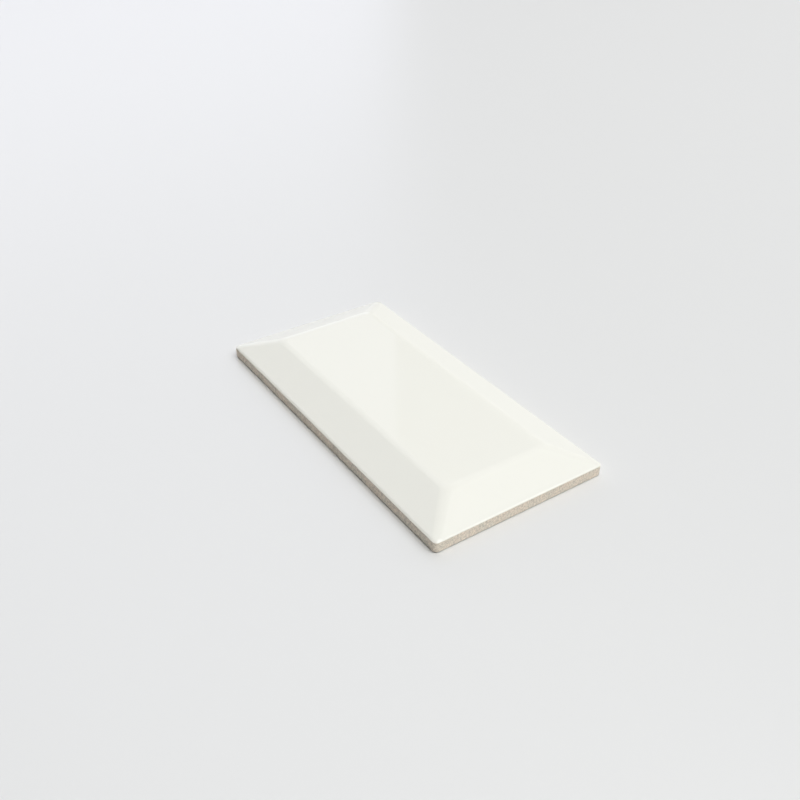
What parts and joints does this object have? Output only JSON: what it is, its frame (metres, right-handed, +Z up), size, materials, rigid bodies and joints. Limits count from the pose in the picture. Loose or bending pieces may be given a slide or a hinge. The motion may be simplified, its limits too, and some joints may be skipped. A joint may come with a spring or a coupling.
{
  "type": "bevelled wall tile",
  "caption": "Rectangular glazed wall tile with a flat raised field, equal bevels on all four sides, soft ridges, a rounded rim and a keyed back.",
  "frame": {"origin": "centre of the back, on the bedding plane", "axes": "+X along the length, +Y across the width, +Z up through the glazed face"},
  "size_m": [0.15, 0.075, 0.0106],
  "materials": {
    "glaze": "gloss"
  },
  "bodies": {
    "root": {"tile": "glaze"}
  },
  "joints": []
}
